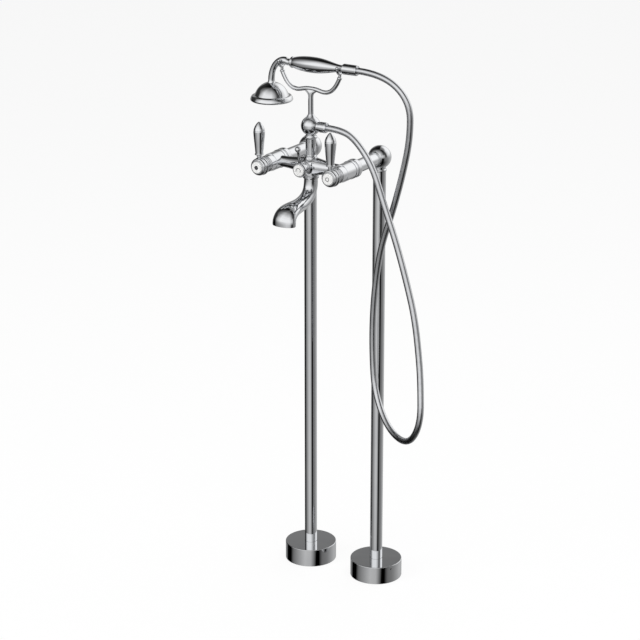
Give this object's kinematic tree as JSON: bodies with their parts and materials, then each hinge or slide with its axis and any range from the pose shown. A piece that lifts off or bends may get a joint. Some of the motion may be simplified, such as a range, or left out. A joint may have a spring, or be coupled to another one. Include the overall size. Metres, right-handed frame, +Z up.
{
  "type": "floor standing bath filler",
  "caption": "Freestanding bath and shower mixer on twin standpipes, with lever valves, diverter, curved spout and a telephone handset in a forked cradle with its hose.",
  "frame": {"origin": "on the floor, midway between the two standpipes' axes", "axes": "+X to the right seen from the front, -Y to the front where the levers and spout are, +Z up"},
  "size_m": [0.392, 0.2717, 1.0418],
  "materials": {
    "polished_chrome": "polished chrome plate on brass",
    "raw_brass": "machined brass, out of sight",
    "screw_steel": "stainless steel fasteners",
    "seal_rubber": "black seals",
    "white_enamel": "glossy white inserts",
    "grey_plastic": "pale grey moulded plastic",
    "hose_metal": "smooth bright metal-look hose"
  },
  "bodies": {
    "stand": {"floor_flange_left": "raw_brass", "floor_flange_right": "raw_brass", "base_shroud_left": "polished_chrome", "base_shroud_right": "polished_chrome", "shroud_grub_screws": "screw_steel", "standpipe_clamp_screws": "screw_steel", "standpipe_left": "polished_chrome", "standpipe_right": "polished_chrome", "ball_elbow_left": "polished_chrome", "ball_elbow_right": "polished_chrome", "elbow_o_rings": "seal_rubber", "leg_left": "polished_chrome", "leg_right": "polished_chrome", "union_nut_left": "polished_chrome", "union_nut_right": "polished_chrome", "union_washers": "seal_rubber", "mixer_body": "polished_chrome", "cartridge_left": "raw_brass", "cartridge_right": "raw_brass", "bonnet_left": "polished_chrome", "bonnet_right": "polished_chrome", "diverter_cartridge": "raw_brass", "diverter_bonnet": "polished_chrome", "spout": "polished_chrome", "spout_o_ring": "seal_rubber", "aerator": "grey_plastic", "riser_column": "polished_chrome", "collar_nut": "polished_chrome", "cradle_ball": "polished_chrome", "cradle_yoke": "polished_chrome", "hose_nut_lower": "polished_chrome", "shower_hose": "hose_metal"},
    "hot_lever": {"spindle_left": "raw_brass", "lever_hub_left": "polished_chrome", "lever_screw_left": "screw_steel", "lever_stem_left": "polished_chrome", "lever_sleeve_left": "polished_chrome", "lever_finial_left": "polished_chrome", "index_cap_left": "white_enamel"},
    "cold_lever": {"spindle_right": "raw_brass", "lever_hub_right": "polished_chrome", "lever_screw_right": "screw_steel", "lever_stem_right": "polished_chrome", "lever_sleeve_right": "polished_chrome", "lever_finial_right": "polished_chrome", "index_cap_right": "white_enamel"},
    "diverter": {"diverter_spindle": "raw_brass", "diverter_hub": "polished_chrome", "diverter_lever": "polished_chrome", "diverter_cap": "white_enamel"},
    "handset": {"handset_grip": "polished_chrome", "handset_ferrule": "polished_chrome", "handset_neck": "polished_chrome", "handset_tail": "polished_chrome", "spray_dome": "polished_chrome", "spray_rim": "polished_chrome", "spray_face": "grey_plastic", "hose_nut_upper": "polished_chrome"}
  },
  "joints": [
    {"name": "hot_lever_turn", "type": "hinge", "parent": "stand", "child": "hot_lever", "pos_m": [-0.075, -0.15, 0.842], "axis": [0, -1, 0], "range_deg": [0, 90]},
    {"name": "cold_lever_turn", "type": "hinge", "parent": "stand", "child": "cold_lever", "pos_m": [0.075, -0.15, 0.842], "axis": [0, 1, 0], "range_deg": [0, 90]},
    {"name": "diverter_turn", "type": "hinge", "parent": "stand", "child": "diverter", "pos_m": [0, -0.15, 0.842], "axis": [0, 1, 0], "range_deg": [0, 90]},
    {"name": "handset_lift", "type": "slide", "parent": "stand", "child": "handset", "axis": [-0.5, 0, 0.866], "range_m": [0, 0.08]}
  ]
}
